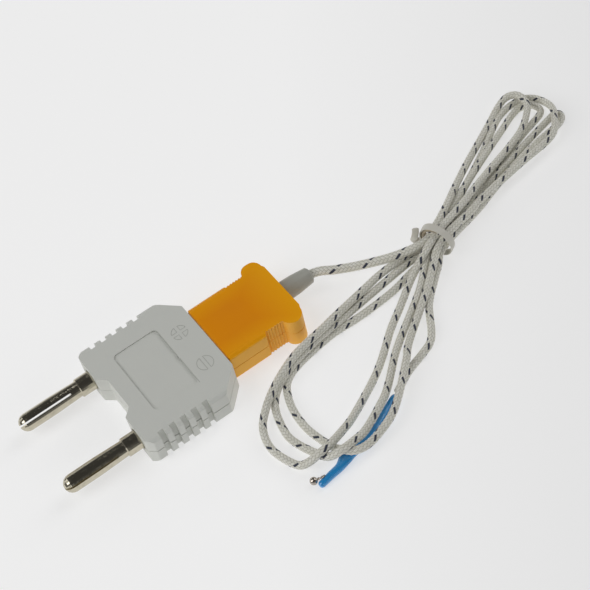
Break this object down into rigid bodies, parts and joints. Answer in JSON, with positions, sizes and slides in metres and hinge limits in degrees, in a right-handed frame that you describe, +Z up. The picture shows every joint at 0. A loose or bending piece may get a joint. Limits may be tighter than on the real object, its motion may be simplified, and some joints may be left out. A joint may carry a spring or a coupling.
{
  "type": "temperature probe",
  "caption": "Bead temperature probe on a tied, braided cord, with a miniature flat connector plugged into a grey adapter for a meter's round sockets.",
  "frame": {"origin": "on the surface the probe lies on, below the middle of its rigid pieces (the adapter, the connector, their pins and the strain relief)", "axes": "+X from the meter pins' tips towards the cord, +Y towards the positive pin, +Z up from the surface"},
  "size_m": [0.1405, 0.0566, 0.0082],
  "materials": {
    "adapter": "fine matt light grey moulding",
    "connector": "satin amber yellow moulding",
    "pins": "bright nickel plate",
    "nuts": "plain brass",
    "contacts": "spring alloy strip",
    "blades": "thermocouple alloy blade",
    "terminals": "plain brass",
    "wires": "bare conductor",
    "screws": "plated steel",
    "boot": "smooth grey rubber",
    "cord": "braided off-white fibre with dark tracer threads",
    "tie": "off-white ribbon",
    "sleeve": "glossy blue sleeve",
    "tip_wires": "bare conductor",
    "bead": "smooth welded bead"
  },
  "bodies": {
    "root": {"adapter_upper_shell": "adapter", "adapter_lower_shell": "adapter", "connector_upper_shell": "connector", "connector_lower_shell": "connector", "pin_positive": "pins", "pin_negative": "pins", "pin_nut_positive": "nuts", "pin_nut_negative": "nuts", "contact_positive": "contacts", "contact_negative": "contacts", "blade_positive": "blades", "blade_negative": "blades", "terminal_screw_positive": "terminals", "terminal_screw_negative": "terminals", "wire_positive": "wires", "wire_negative": "wires", "adapter_screw": "screws", "connector_screw": "screws", "strain_relief": "boot", "cord": "cord", "tie_band": "tie", "tip_sleeve": "sleeve", "tip_wire_positive": "tip_wires", "tip_wire_negative": "tip_wires", "bead": "bead"}
  },
  "joints": []
}
